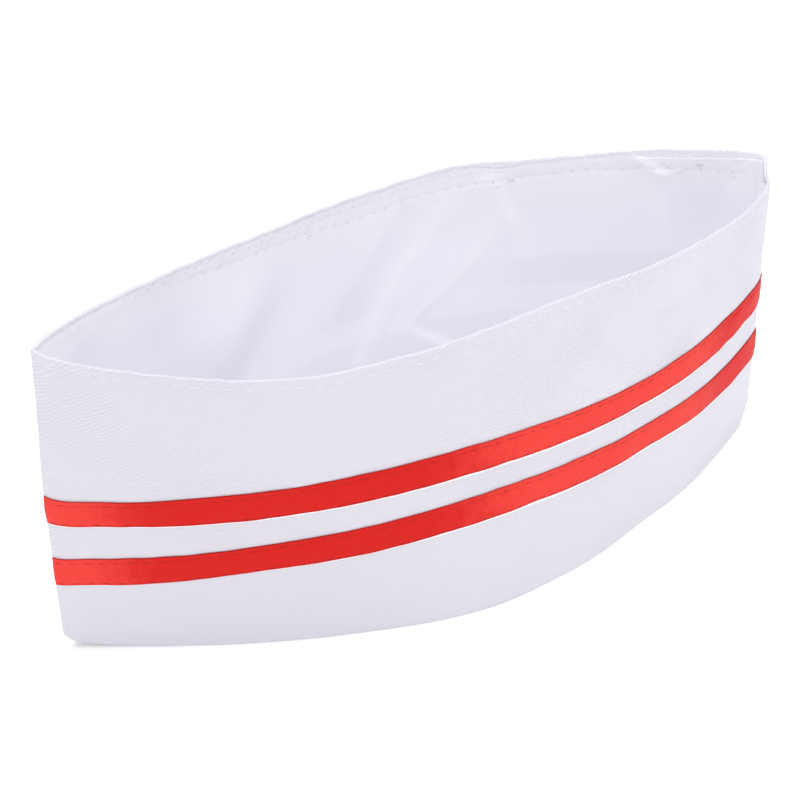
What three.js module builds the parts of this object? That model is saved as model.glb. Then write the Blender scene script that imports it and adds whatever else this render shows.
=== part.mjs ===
// A boat-shaped chef's cap of white twill with two red satin ribbons, lying upside down:
// the folded edge of its sides rests at z = 0 and the head opening faces up.
// Sizes are millimetres. X runs from the left point to the right point, Y to the far side.
import * as THREE from "three";

// The rim of the head opening, seen from the side.
const RIM = { halfLength: 125.5, height: 96, leftLift: 9.5, rightLift: 1 };
// The points of the folded foot edge, and how far each one is shifted to the far side.
const FOOT = { left: -124.5, right: 125, leftShift: 2, rightShift: 5 };

// Half outlines seen from above. widest is the half width at its widest place, and left and
// right say how each end closes: 0.5 is round, 1 is pointed, more is drawn out.
const OUTLINE = {
  near: { widest: 44, left: 0.52, right: 0.65 },
  far: { widest: 48, left: 0.85, right: 0.64 },
  foot: { widest: 43.5, left: 1.15, right: 1.08 },
};

// Soft waves of the rim: at and width are parts of the half length, out is in millimetres.
const RIM_WAVES = [
  { side: "near", at: -0.93, width: 0.1, out: -1.2 },
  { side: "near", at: -0.6, width: 0.3, out: 1.9 },
  { side: "near", at: 0.15, width: 0.28, out: -1.6 },
  { side: "near", at: 0.5, width: 0.14, out: 1.3 },
  { side: "far", at: 0.24, width: 0.24, out: 3.6 },
  { side: "far", at: 0.58, width: 0.14, out: -1.6 },
  { side: "far", at: 0.93, width: 0.1, out: 3 },
];

// The foot edge turns up at both ends: a slow rise first, then a rounded corner.
const FOOT_RISES = [
  { end: "left", run: 35, rise: 2.5 },
  { end: "left", run: 11, rise: 11 },
  { end: "right", run: 70, rise: 1 },
  { end: "right", run: 11, rise: 11 },
];

// Rows of a side panel. at is measured in millimetres below the rim, as a part of the plain
// wall, or in millimetres above the foot. outer and inner are the depths of its two faces
// behind the cap's outer surface, so the hem and the rolled foot are thicker than the wall.
const PANEL_ROWS = [
  { from: "rim", at: 0, outer: 0.5, inner: 1.7 },
  { from: "rim", at: 0.7, outer: 0, inner: 2.2 },
  { from: "rim", at: 9, outer: 0, inner: 2.2 },
  { from: "rim", at: 10, outer: 0, inner: 1.4 },
  { from: "wall", at: 0.33, outer: 0, inner: 1.4 },
  { from: "wall", at: 0.67, outer: 0, inner: 1.4 },
  { from: "foot", at: 3.2, outer: 0, inner: 1.4 },
  { from: "foot", at: 2.4, outer: 0, inner: 2.4 },
  { from: "foot", at: 0, outer: 0.2, inner: 2.2 },
];
const SEAM_GAP = 0.3;

// Satin ribbons sewn flat on the sides: the drops are their upper edge below the rim.
const RIBBON = { width: 10, thickness: 1, gap: 0.4, endCut: 3.4 };
const RIBBONS = [
  { name: "ribbon_upper", side: "near", left: 48.5, middle: 36.7, right: 43 },
  { name: "ribbon_lower", side: "near", left: 71.5, middle: 54.6, right: 63.5 },
  { name: "ribbon_upper", side: "far", left: 46, middle: 34, right: 40 },
  { name: "ribbon_lower", side: "far", left: 69, middle: 52, right: 60.5 },
];
// Soft waves of the sewn ribbons, placed like the rim's: down is in millimetres.
const RIBBON_WAVES = [
  { name: "ribbon_upper", side: "near", at: -0.26, width: 0.22, down: -0.9 },
  { name: "ribbon_upper", side: "near", at: 0.24, width: 0.2, down: 1.4 },
  { name: "ribbon_upper", side: "near", at: 0.88, width: 0.2, down: -1.2 },
  { name: "ribbon_lower", side: "near", at: -0.77, width: 0.1, down: 0.8 },
  { name: "ribbon_lower", side: "near", at: 0.19, width: 0.13, down: 0.8 },
  { name: "ribbon_lower", side: "near", at: 0.57, width: 0.15, down: -1 },
];

// Rows of the crown bag, placed like the panel's, with the depth of its outer face.
const CROWN = { thickness: 1, looseFrom: 12 };
const CROWN_ROWS = [
  { from: "rim", at: 2.5, depth: 2.5 },
  { from: "rim", at: 9.5, depth: 2.5 },
  { from: "wall", at: 0.1, depth: 2.7 },
  { from: "wall", at: 0.22, depth: 3 },
  { from: "wall", at: 0.34, depth: 3.3 },
  { from: "wall", at: 0.46, depth: 3.5 },
  { from: "wall", at: 0.6, depth: 3.5 },
  { from: "wall", at: 0.78, depth: 3.4 },
  { from: "foot", at: 7, depth: 3.2 },
];
// The crown's floor sags nearly flat from the wall's last row to the middle line. rise is
// measured from that last row.
const FLOOR_ROWS = [
  { inward: 0.1, rise: -3.2 },
  { inward: 0.45, rise: -3.8 },
  { inward: 0.8, rise: -3.5 },
  { inward: 1, rise: -3.2 },
];
const MIDDLE_LINE_SHARE = 0.9;
// Ridges of the crown cloth, each a straight crease from (x1, drop1) to (x2, drop2).
const CROWN_RIDGES = [
  { side: "far", x1: 53, drop1: 8, x2: 58, drop2: 20, width: 5, rise: 4 },
  { side: "far", x1: 58, drop1: 20, x2: 45, drop2: 34, width: 6, rise: 5.5 },
  { side: "far", x1: 45, drop1: 34, x2: 19, drop2: 46, width: 7, rise: 6.5 },
  { side: "far", x1: 34, drop1: 9, x2: 21, drop2: 28, width: 5, rise: 4 },
  { side: "far", x1: 21, drop1: 28, x2: 9, drop2: 50, width: 6, rise: 5 },
  { side: "far", x1: -8, drop1: 12, x2: -20, drop2: 60, width: 11, rise: 3 },
  { side: "far", x1: -46, drop1: 12, x2: -60, drop2: 55, width: 11, rise: 3 },
  { side: "near", x1: -30, drop1: 14, x2: -18, drop2: 60, width: 12, rise: 3 },
  { side: "near", x1: 40, drop1: 14, x2: 30, drop2: 60, width: 12, rise: 3 },
];

const COLUMNS = 50;
const SAMPLES = 360;
const WHITE_TWILL = new THREE.Color(0.86, 0.86, 0.89);
const WHITE_LAWN = new THREE.Color(0.84, 0.83, 0.9);
const RED_SATIN = new THREE.Color(0.8, 0.03, 0.03);

const clamp = (value, low, high) => Math.min(high, Math.max(low, value));
const mix = (a, b, share) => a + (b - a) * share;
const direction = (side) => (side === "near" ? -1 : 1);

// Half width of an outline at t, which runs from -1 at the left end to 1 at the right.
function halfWidth(t, { widest, left, right }) {
  const peak = (left - right) / (left + right);
  const scale = (1 + peak) ** left * (1 - peak) ** right;
  return (widest * Math.max(0, 1 + t) ** left * Math.max(0, 1 - t) ** right) / scale;
}

function rimPoint(side, t) {
  let y = halfWidth(t, OUTLINE[side]);
  for (const wave of RIM_WAVES.filter((row) => row.side === side)) {
    const bump = Math.exp(-(((t - wave.at) / wave.width) ** 2));
    y += wave.out * bump * Math.max(0, 1 - t * t) ** 0.25;
  }
  const lift = RIM.leftLift * clamp(-t, 0, 1) ** 2 + RIM.rightLift * clamp(t, 0, 1) ** 2;
  return new THREE.Vector3(RIM.halfLength * t, direction(side) * y, RIM.height + lift);
}

// The foot as if its edge were straight, level and uncut.
function footPoint(side, t) {
  const shift = FOOT.leftShift * clamp(-t, 0, 1) + FOOT.rightShift * clamp(t, 0, 1);
  const y = direction(side) * halfWidth(t, OUTLINE.foot) + shift;
  return new THREE.Vector3(mix(FOOT.left, FOOT.right, (t + 1) / 2), y, 0);
}

function footRise(x) {
  let rise = 0;
  for (const row of FOOT_RISES) {
    const inside = row.end === "left" ? x - FOOT.left : FOOT.right - x;
    const turn = clamp(1 - inside / row.run, 0, 1);
    rise += row.rise * (1 - Math.sqrt(1 - turn * turn));
  }
  return rise;
}

// How far below the rim, along the wall, a row lies at t.
function rowDrop(side, row, t) {
  const rim = rimPoint(side, t);
  const foot = footPoint(side, t);
  const length = (rim.distanceTo(foot) * (rim.z - footRise(foot.x))) / rim.z;
  if (row.from === "rim") return row.at;
  if (row.from === "wall") return mix(10, length - 3.2, row.at);
  return length - row.at;
}

function ribbonDrop(ribbon, edge, t) {
  const left = (ribbon.left - ribbon.middle) * clamp(-t, 0, 1) ** 1.6;
  const right = (ribbon.right - ribbon.middle) * clamp(t, 0, 1) ** 1.6;
  let waves = 0;
  for (const wave of RIBBON_WAVES) {
    if (wave.name !== ribbon.name || wave.side !== ribbon.side) continue;
    waves += wave.down * Math.exp(-(((t - wave.at) / wave.width) ** 2));
  }
  return ribbon.middle + left + right + waves + edge;
}

// Lifts of the crown cloth off the wall by its ridges, in millimetres.
function ridgeDepth(side, x, drop) {
  let depth = 0;
  for (const ridge of CROWN_RIDGES.filter((row) => row.side === side)) {
    const along = new THREE.Vector2(ridge.x2 - ridge.x1, ridge.drop2 - ridge.drop1);
    const from = new THREE.Vector2(x - ridge.x1, drop - ridge.drop1);
    const share = clamp(from.dot(along) / along.lengthSq(), 0, 1);
    const away = from.distanceTo(along.multiplyScalar(share));
    depth = Math.max(depth, ridge.rise * Math.exp(-((away / ridge.width) ** 2)));
  }
  return depth * clamp((drop - CROWN.looseFrom + 9) / 9, 0, 1);
}

// One level line of a side at a depth behind its outer surface. The line ends half a gap
// short of the plane through the two end seams and is divided more finely at the ends.
function levelLine(side, dropAt, depthAt, gap) {
  const sign = direction(side);
  const raw = [];
  for (let k = 0; k <= SAMPLES; k += 1) {
    const t = -Math.cos((Math.PI * k) / SAMPLES);
    const rim = rimPoint(side, t);
    const slope = footPoint(side, t).sub(rim).normalize();
    const drop = dropAt(t);
    raw.push({ drop, point: rim.addScaledVector(slope, drop) });
  }
  const first = raw[0].point;
  const last = raw[SAMPLES].point;
  const line = raw.map(({ point, drop }, k) => {
    const before = raw[Math.max(0, k - 1)].point;
    const after = raw[Math.min(SAMPLES, k + 1)].point;
    const inward = new THREE.Vector2(after.y - before.y, before.x - after.x);
    inward.normalize().multiplyScalar(sign * depthAt(point.x, drop));
    return new THREE.Vector3(point.x + inward.x, point.y + inward.y, point.z);
  });
  const clear = (p) => {
    const seam = mix(first.y, last.y, (p.x - first.x) / (last.x - first.x));
    return sign * (p.y - seam) - gap / 2;
  };
  return divide(trim(line, clear));
}

// Keeps the stretch of a line where clear is positive, cut exactly at both ends.
function trim(line, clear) {
  const middle = Math.floor(line.length / 2);
  let start = middle;
  let end = middle;
  while (start > 0 && clear(line[start - 1]) > 0) start -= 1;
  while (end < line.length - 1 && clear(line[end + 1]) > 0) end += 1;
  const kept = line.slice(start, end + 1);
  const cut = (inside, outside) => {
    const share = clear(inside) / (clear(inside) - clear(outside));
    return inside.clone().lerp(outside, share);
  };
  if (start > 0) kept.unshift(cut(line[start], line[start - 1]));
  if (end < line.length - 1) kept.push(cut(line[end], line[end + 1]));
  return kept;
}

// Divides a line into COLUMNS steps by its length, finer towards both ends.
function divide(line) {
  const lengths = [0];
  for (let k = 1; k < line.length; k += 1) {
    lengths.push(lengths[k - 1] + line[k].distanceTo(line[k - 1]));
  }
  const total = lengths[lengths.length - 1];
  const points = [];
  let k = 1;
  for (let i = 0; i <= COLUMNS; i += 1) {
    const even = i / COLUMNS;
    const place = total * mix(even, (1 - Math.cos(Math.PI * even)) / 2, 0.6);
    while (k < line.length - 1 && lengths[k] < place) k += 1;
    const share = (place - lengths[k - 1]) / (lengths[k] - lengths[k - 1]);
    points.push(line[k - 1].clone().lerp(line[k], clamp(share, 0, 1)));
  }
  return points;
}

// A closed body from points and the triangles between them, its faces turned outwards.
function closedBody(points, triangles) {
  let volume = 0;
  for (const [a, b, c] of triangles) {
    volume += points[a].dot(points[b].clone().cross(points[c]));
  }
  const faces = volume > 0 ? triangles : triangles.map(([a, b, c]) => [a, c, b]);
  const geometry = new THREE.BufferGeometry();
  const positions = points.flatMap((p) => [p.x, p.y, p.z]);
  geometry.setAttribute("position", new THREE.Float32BufferAttribute(positions, 3));
  geometry.setIndex(faces.flat());
  geometry.computeVertexNormals();
  return geometry;
}

// A strip of cloth between outer lines and inner lines, both listed from rim to foot.
function clothStrip(outer, inner) {
  const ring = [...outer, ...inner.slice().reverse()];
  const rows = ring.length;
  const points = ring.flat();
  const at = (row, column) => (row % rows) * (COLUMNS + 1) + column;
  const triangles = [];
  for (let row = 0; row < rows; row += 1) {
    for (let i = 0; i < COLUMNS; i += 1) {
      triangles.push([at(row, i), at(row + 1, i), at(row + 1, i + 1)]);
      triangles.push([at(row, i), at(row + 1, i + 1), at(row, i + 1)]);
    }
  }
  for (let row = 0; row < outer.length - 1; row += 1) {
    const back = rows - 1 - row;
    for (const [i, flip] of [[0, false], [COLUMNS, true]]) {
      const corners = [at(row, i), at(back, i), at(back - 1, i), at(row + 1, i)];
      const [a, b, c, d] = flip ? corners.reverse() : corners;
      triangles.push([a, b, c], [a, c, d]);
    }
  }
  return closedBody(points, triangles);
}

function sidePanel(side) {
  const lines = (face) => PANEL_ROWS.map((row) =>
    levelLine(side, (t) => rowDrop(side, row, t), () => row[face], SEAM_GAP));
  return clothStrip(lines("outer"), lines("inner"));
}

// A ribbon ends level with the side that carries it, so it is cut further from the seams.
function ribbonStrip(ribbon) {
  const lines = (lift) => [0, RIBBON.width].map((edge) => {
    const gap = SEAM_GAP + RIBBON.endCut * lift;
    return levelLine(ribbon.side, (t) => ribbonDrop(ribbon, edge, t), () => -lift, gap);
  });
  return clothStrip(lines(RIBBON.gap + RIBBON.thickness), lines(RIBBON.gap));
}

// One skin of the crown bag: closed loops from the rim to the floor's middle line.
function crownLoops(extraDepth) {
  const wall = CROWN_ROWS.map((row) => {
    const [near, far] = ["near", "far"].map((side) => levelLine(
      side,
      (t) => rowDrop(side, row, t),
      (x, drop) => row.depth + extraDepth + ridgeDepth(side, x, drop),
      0,
    ));
    const leftEnd = near[0].x > far[0].x ? near[0] : far[0];
    const rightEnd = near[COLUMNS].x < far[COLUMNS].x ? near[COLUMNS] : far[COLUMNS];
    near[0] = leftEnd;
    near[COLUMNS] = rightEnd;
    return { near, far: [leftEnd, ...far.slice(1, COLUMNS), rightEnd] };
  });
  const base = wall[wall.length - 1];
  const floor = FLOOR_ROWS.map(({ inward, rise }) => {
    const lines = {};
    for (const side of ["near", "far"]) {
      lines[side] = base[side].map((point, i) => {
        const middle = base.near[i].clone().lerp(base.far[i], 0.5);
        middle.x *= MIDDLE_LINE_SHARE;
        const level = point.clone().lerp(middle, inward);
        level.z += rise + extraDepth;
        return level;
      });
    }
    return lines;
  });
  return [...wall, ...floor].map(({ near, far }) =>
    [...near, ...far.slice(1, COLUMNS).reverse()]);
}

function crownBag() {
  const outer = crownLoops(0);
  const inner = crownLoops(CROWN.thickness);
  const loops = [...outer.slice().reverse(), ...inner];
  const around = 2 * COLUMNS;
  const points = loops.flat();
  const onMiddle = (row) => row === 0 || row === loops.length - 1;
  const at = (row, column) => {
    const j = column % around;
    return row * around + (onMiddle(row) ? Math.min(j, around - j) : j);
  };
  const triangles = [];
  for (let row = 0; row < loops.length - 1; row += 1) {
    for (let j = 0; j < around; j += 1) {
      const corners = [at(row, j), at(row, j + 1), at(row + 1, j + 1), at(row + 1, j)];
      for (const face of [[0, 1, 2], [0, 2, 3]]) {
        const [a, b, c] = face.map((n) => corners[n]);
        if (a !== b && b !== c && c !== a) triangles.push([a, b, c]);
      }
    }
  }
  return closedBody(points, triangles);
}

function mesh(name, geometry, color, roughness) {
  const material = new THREE.MeshStandardMaterial({ color, roughness, metalness: 0 });
  const piece = new THREE.Mesh(geometry, material);
  piece.name = name;
  return piece;
}

const cap = new THREE.Group();
for (const side of ["near", "far"]) {
  cap.add(mesh(`side_panel_${side}`, sidePanel(side), WHITE_TWILL, 0.9));
}
for (const ribbon of RIBBONS) {
  cap.add(mesh(`${ribbon.name}_${ribbon.side}`, ribbonStrip(ribbon), RED_SATIN, 0.35));
}
cap.add(mesh("crown", crownBag(), WHITE_LAWN, 0.95));

// The origin is the middle of the whole cap's box, at the level it rests on.
const box = new THREE.Box3().setFromObject(cap);
const middle = box.getCenter(new THREE.Vector3());
cap.position.set(-middle.x, -middle.y, -box.min.z);

export default cap;
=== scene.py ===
"""A white, boat-shaped chef's cap with two red satin ribbons, lying upside down on a white floor.

Lengths in the tables are millimetres, in the cap's own drawing: X from the left point to the
right point, Y to the far side, Z up through the head opening. Meshes are built in metres.
A place t along a side runs from -1 at the left point to 1 at the right one, and a drop is how far
down the side's wall something lies, from the plain rim.
"""
import math

import bpy
import numpy as np
from mathutils import Matrix, Vector


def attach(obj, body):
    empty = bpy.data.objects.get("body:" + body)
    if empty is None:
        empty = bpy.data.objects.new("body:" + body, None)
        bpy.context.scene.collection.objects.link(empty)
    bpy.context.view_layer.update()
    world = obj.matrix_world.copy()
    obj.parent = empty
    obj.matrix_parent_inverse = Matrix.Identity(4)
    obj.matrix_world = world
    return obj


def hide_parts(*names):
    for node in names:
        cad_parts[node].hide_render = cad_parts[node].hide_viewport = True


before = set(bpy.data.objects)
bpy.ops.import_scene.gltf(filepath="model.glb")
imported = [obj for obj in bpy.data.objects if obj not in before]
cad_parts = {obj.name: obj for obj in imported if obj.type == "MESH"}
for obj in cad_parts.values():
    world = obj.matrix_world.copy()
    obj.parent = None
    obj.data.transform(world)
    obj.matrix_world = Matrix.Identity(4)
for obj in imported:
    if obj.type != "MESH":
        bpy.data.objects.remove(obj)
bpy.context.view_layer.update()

MM = 0.001
MIDDLE = (0.081, 3.366)  # the middle of the cap's box in the drawing

# The cap's form
RIM = {"half": 126, "height": 96, "left_lift": 9.5, "right_lift": 1, "right_out": 0.8}
FOOT = {"left": -122.3, "right": 126.8, "left_shift": 2, "right_shift": 5}
OUTLINE = {  # widest half width, and how the left and right ends close
    "near": (44, 0.52, 0.65),
    "far": (48, 0.85, 0.64),
    "foot": (43.5, 1.15, 1.08),
}
RIM_WAVES = [  # side, place, width, out
    ("near", -0.93, 0.1, -1.2),
    ("near", -0.6, 0.3, 1.9),
    ("near", 0.15, 0.28, -1.6),
    ("near", 0.5, 0.14, 1.3),
    ("far", 0.24, 0.24, 3.6),
    ("far", 0.58, 0.14, -1.6),
    ("far", 0.93, 0.1, 3),
]
RIM_CUT = [  # place, how far the near and the far side's edge lie below the plain rim
    (-1, 0, 0), (-0.96, -1.2, -0.5), (-0.9, -1.5, -0.5), (-0.82, -1.8, -0.5),
    (-0.74, -1.1, -0.2), (-0.62, 0, 0.1), (-0.46, 1.2, 0.1), (-0.38, 1.1, 0.1),
    (-0.3, 0.5, 0.2), (-0.2, 0.6, -0.1), (-0.05, 0, -0.9), (0.12, -0.6, -0.3),
    (0.25, -0.8, -0.9), (0.35, -0.7, -1.7), (0.45, -0.2, -1), (0.52, -0.2, -0.7),
    (0.62, 1.1, -0.8), (0.72, 2.2, -0.3), (0.8, 3.3, -0.8), (0.88, 3.9, -0.2),
    (0.92, 4.1, -0.3), (0.94, 4.1, -0.7), (0.96, 4.1, -1.2), (0.972, 4.2, -1.5),
    (0.985, 4.4, -2), (0.991, 4.5, -2.3), (0.996, 4.7, -2.7), (0.998, 4.8, -2.4),
    (0.9994, 4.9, -1.6), (1, 5, 9),
]
FOOT_RISES = [("left", 30, 3.2), ("left", 6, 3.9), ("right", 70, 1), ("right", 9, 9)]
FOOT_WAVES = [  # side, x, width, out
    ("near", -76, 40, 0.9),
    ("near", -10, 28, 1.9),
    ("near", 62, 17, -1.9),
]
RIBBON_WIDTH = 10.0
RIBBONS = [  # name, side, drop of the upper edge at the left point, the middle and the right point
    ("ribbon_upper_near", "near", 48.5, 36.7, 43),
    ("ribbon_lower_near", "near", 71.5, 54.6, 63.5),
    ("ribbon_upper_far", "far", 46, 34, 40),
    ("ribbon_lower_far", "far", 69, 52, 60.5),
]
# Place, then for the near side's upper ribbon and for its lower one how much lower it lies there
# and its share of the full width.
RIBBON_LINES = [
    (-1, 0.9, 0.93, -0.1, 0.98), (-0.9, 0.5, 0.94, 0.2, 1.03), (-0.8, 0.2, 0.97, 0.6, 1.05),
    (-0.7, -0.5, 1.03, 0.7, 0.95), (-0.6, -0.7, 1.03, 0.2, 0.95), (-0.5, -0.6, 1.02, -0.2, 0.99),
    (-0.4, -0.7, 1.01, -0.1, 0.99), (-0.3, -1, 0.99, -0.3, 0.97), (-0.2, -1.3, 0.99, -0.7, 0.96),
    (-0.1, -0.8, 0.96, -0.7, 0.95), (0, 0, 0.92, -0.4, 0.93), (0.1, 0.9, 0.93, 0.3, 0.93),
    (0.2, 1.5, 0.94, 0.9, 0.93), (0.3, 1.7, 0.91, 0.8, 0.92), (0.4, 1.6, 0.89, 0.7, 0.92),
    (0.5, 1.1, 0.91, 0.3, 0.9), (0.55, 0.5, 0.93, -0.1, 0.91), (0.62, -0.3, 0.96, -0.5, 0.93),
    (0.7, -1.1, 0.99, -0.9, 0.98), (0.75, -1.7, 1, -1.2, 1.02), (0.82, -2.1, 1.01, -1.4, 1.03),
    (0.9, -2.6, 1.01, -2.2, 1.04), (0.95, -2.7, 0.99, -2.7, 1.04), (1, -2.6, 0.97, -2.7, 1.03),
]
SAMPLES = 1400  # points of a level line before it is trimmed
SEAM_GAP = 0.12  # between the two sides at the end seams
SIGN = {"near": -1.0, "far": 1.0}


def of_side(table, side):
    """The rows of a table that begin with a side's name, without it."""
    return [row[1:] for row in table if row[0] == side]


def from_rows(x, rows, column=1):
    """The value at x of the line through a table's rows."""
    return np.interp(x, [row[0] for row in rows], [row[column] for row in rows])


def softened(t, rows, column, step):
    """The same, as the mean of five places a step apart."""
    return sum(from_rows(t + count * step, rows, column) for count in (-2, -1, 0, 1, 2)) / 5


def soft_step(x, low, high):
    s = np.clip((x - low) / (high - low), 0, 1)
    return s * s * (3 - 2 * s)


def bump(x, at, width):
    return np.exp(-(((x - at) / width) ** 2))


def half_width(t, outline):
    """An outline's half width, from 0 at one point to the widest and to 0 at the other."""
    widest, left, right = OUTLINE[outline]
    peak = (left - right) / (left + right)
    scale = (1 + peak) ** left * (1 - peak) ** right
    return widest * np.maximum(0, 1 + t) ** left * np.maximum(0, 1 - t) ** right / scale


def waved(y, place, t, waves):
    """A half width with its waves, which fade out at both points."""
    for at, width, out in waves:
        y = y + out * bump(place, at, width) * np.maximum(0, 1 - t * t) ** 0.25
    return y


def rim_point(side, t):
    y = waved(half_width(t, side), t, t, of_side(RIM_WAVES, side))
    lift = RIM["left_lift"] * np.clip(-t, 0, 1) ** 2 + RIM["right_lift"] * np.clip(t, 0, 1) ** 2
    x = RIM["half"] * t + RIM["right_out"] * np.clip((t - 0.8) / 0.2, 0, 1) ** 2
    return np.stack([x, SIGN[side] * y, RIM["height"] + lift], -1)


def rim_cut(side, t):
    """How far a side's edge lies below the plain rim, softened along it, less so at the points."""
    reach = np.clip((1 - np.abs(t)) / 0.06, 0.03, 1)
    return softened(t, RIM_CUT, 1 if side == "near" else 2, 0.015 * reach)


def below_edge(side, x, drop):
    """How far a place lies below the side's own edge."""
    return drop - rim_cut(side, x / RIM["half"])


def foot_point(side, t):
    shift = FOOT["left_shift"] * np.clip(-t, 0, 1) + FOOT["right_shift"] * np.clip(t, 0, 1)
    x = FOOT["left"] + (FOOT["right"] - FOOT["left"]) * (t + 1) / 2
    y = waved(half_width(t, "foot"), x, t, of_side(FOOT_WAVES, side))
    return np.stack([x, SIGN[side] * y + shift, 0 * t], -1)


def foot_rise(x):
    """How far the foot's rounded corners lie above the floor."""
    rise = 0 * x
    for end, run, high in FOOT_RISES:
        inside = x - FOOT["left"] if end == "left" else FOOT["right"] - x
        rise = rise + high * (1 - np.sqrt(1 - np.clip(1 - inside / run, 0, 1) ** 2))
    return rise


def wall_length(side, t):
    """How far it is from the rim to the foot, along the wall."""
    rim, foot = rim_point(side, t), foot_point(side, t)
    return np.linalg.norm(rim - foot, axis=1) * (rim[:, 2] - foot_rise(foot[:, 0])) / rim[:, 2]


def ribbon_drop(name, left, middle, right, t):
    """How far a ribbon's upper edge lies below the rim."""
    drop = middle + (left - middle) * np.clip(-t, 0, 1) ** 1.6 + (right - middle) * np.clip(t, 0, 1) ** 1.6
    return drop + ribbon_line(name, t, 1)


def ribbon_line(name, t, column):
    """A value from the near ribbons' table, softened along the ribbon."""
    if name.endswith("far"):
        return 0 * t if column == 1 else 1 + 0 * t
    return softened(t, RIBBON_LINES, column + (2 if "lower" in name else 0), 0.02)


def ribbon_wide(name, t):
    """A ribbon's share of its full width."""
    return ribbon_line(name, t, 2)


def level_line(side, drop_at, depth_at, gap, columns, even=0.4):
    """One line along a side, drop below the rim and depth behind the outer surface.

    It is cut half a gap short of the plane through both end seams. Gives its points, how far
    along each one is from the line's middle, and its drop.
    """
    t = -np.cos(np.pi * np.arange(SAMPLES + 1) / SAMPLES)
    rim = rim_point(side, t)
    slope = foot_point(side, t) - rim
    slope /= np.linalg.norm(slope, axis=1)[:, None]
    drop = drop_at(t) + 0 * t
    raw = rim + slope * drop[:, None]
    ahead, behind = np.roll(raw, -1, 0), np.roll(raw, 1, 0)
    ahead[-1], behind[0] = raw[-1], raw[0]
    inward = np.stack([ahead[:, 1] - behind[:, 1], behind[:, 0] - ahead[:, 0]], -1)
    inward /= np.linalg.norm(inward, axis=1)[:, None]
    line = raw.copy()
    line[:, :2] += inward * (SIGN[side] * (depth_at(raw[:, 0], drop) + 0 * t))[:, None]
    share = (line[:, 0] - raw[0, 0]) / (raw[-1, 0] - raw[0, 0])
    clear = SIGN[side] * (line[:, 1] - (raw[0, 1] + share * (raw[-1, 1] - raw[0, 1]))) - gap / 2
    middle = SAMPLES // 2
    start = np.nonzero(clear[:middle] <= 0)[0]
    end = np.nonzero(clear[middle:] <= 0)[0]
    a = start[-1] if len(start) else 0
    b = middle + end[0] if len(end) else SAMPLES
    kept = np.concatenate([line[a:b + 1], drop[a:b + 1, None]], 1)
    if len(start):
        cut = clear[a + 1] / (clear[a + 1] - clear[a])
        kept[0] = kept[1] + (kept[0] - kept[1]) * cut
    if len(end):
        cut = clear[b - 1] / (clear[b - 1] - clear[b])
        kept[-1] = kept[-2] + (kept[-1] - kept[-2]) * cut
    step = np.linalg.norm(np.diff(kept[:, :3], axis=0), axis=1)
    along = np.concatenate([[0], np.cumsum(step)])
    part = np.linspace(0, 1, columns + 1)
    place = along[-1] * (even * part + (1 - even) * (1 - np.cos(np.pi * part)) / 2)
    points = np.stack([np.interp(place, along, kept[:, i]) for i in range(4)], -1)
    return points[:, :3], place - along[-1] / 2, points[:, 3]


def to_frame(points):
    """Drawing millimetres to the scene's metres."""
    return (points - np.array([MIDDLE[0], MIDDLE[1], 0.0])) * MM


def ripple(x, seed, short, long, waves=9):
    """A smooth random line between about -1 and 1, with waves between two lengths."""
    pick = np.random.RandomState(seed)
    out = 0 * x
    for _ in range(waves):
        length = short * (long / short) ** pick.rand()
        out = out + np.sin(2 * np.pi * (x / length + pick.rand()))
    return out / math.sqrt(waves)


def mottle(x, y, seed, short, long, waves=14):
    """The same over an area."""
    pick = np.random.RandomState(seed)
    out = 0 * x
    for _ in range(waves):
        length, turn = short * (long / short) ** pick.rand(), 2 * np.pi * pick.rand()
        out = out + np.sin(2 * np.pi * ((x * math.cos(turn) + y * math.sin(turn)) / length + pick.rand()))
    return out / math.sqrt(waves)


# Mesh helpers
def lay_mesh(name, points, faces, uv=None, values=None):
    """A mesh object from points, faces, a place in the cloth for each point, and named values."""
    mesh = bpy.data.meshes.new(name)
    mesh.from_pydata(points.tolist(), [], faces.tolist())
    if uv is not None:
        layer = mesh.uv_layers.new(name="cloth")
        corner = np.empty(len(mesh.loops), dtype=np.int32)
        mesh.loops.foreach_get("vertex_index", corner)
        layer.data.foreach_set("uv", uv[corner].ravel().astype(np.float32))
    for key, value in (values or {}).items():
        mesh.attributes.new(key, "FLOAT", "POINT").data.foreach_set("value", value.astype(np.float32))
    mesh.update()
    return add_object(name, mesh)


def add_object(name, data):
    piece = bpy.data.objects.new(name, data)
    bpy.context.scene.collection.objects.link(piece)
    return piece


def add_line(curve, points):
    """Adds a line through points in drawing millimetres to a curve."""
    spline = curve.splines.new("POLY")
    spline.points.add(len(points) - 1)
    places = np.concatenate([to_frame(points), np.ones((len(points), 1))], 1)
    spline.points.foreach_set("co", places.ravel())


def grid_faces(rows, columns, closed=False):
    """Four-sided faces between rows of points, also from the last column to the first if closed."""
    r, c = np.meshgrid(np.arange(rows - 1), np.arange(columns if closed else columns - 1), indexing="ij")
    after = (c + 1) % columns
    quads = [r * columns + c, r * columns + after, (r + 1) * columns + after, (r + 1) * columns + c]
    return np.stack(quads, -1).reshape(-1, 4)


def only(piece):
    """Makes the piece the only one selected, and active."""
    bpy.ops.object.select_all(action="DESELECT")
    piece.select_set(True)
    bpy.context.view_layer.objects.active = piece


def edit_all(operator, **settings):
    """Runs an edit mode operator on the whole active piece."""
    bpy.ops.object.mode_set(mode="EDIT")
    bpy.ops.mesh.select_all(action="SELECT")
    operator(**settings)
    bpy.ops.object.mode_set(mode="OBJECT")


def stand_for(piece, node):
    """The piece stands for a CAD node, whose part it hides, and rides on the cap's body."""
    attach(piece, "root")
    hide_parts(node)


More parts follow.
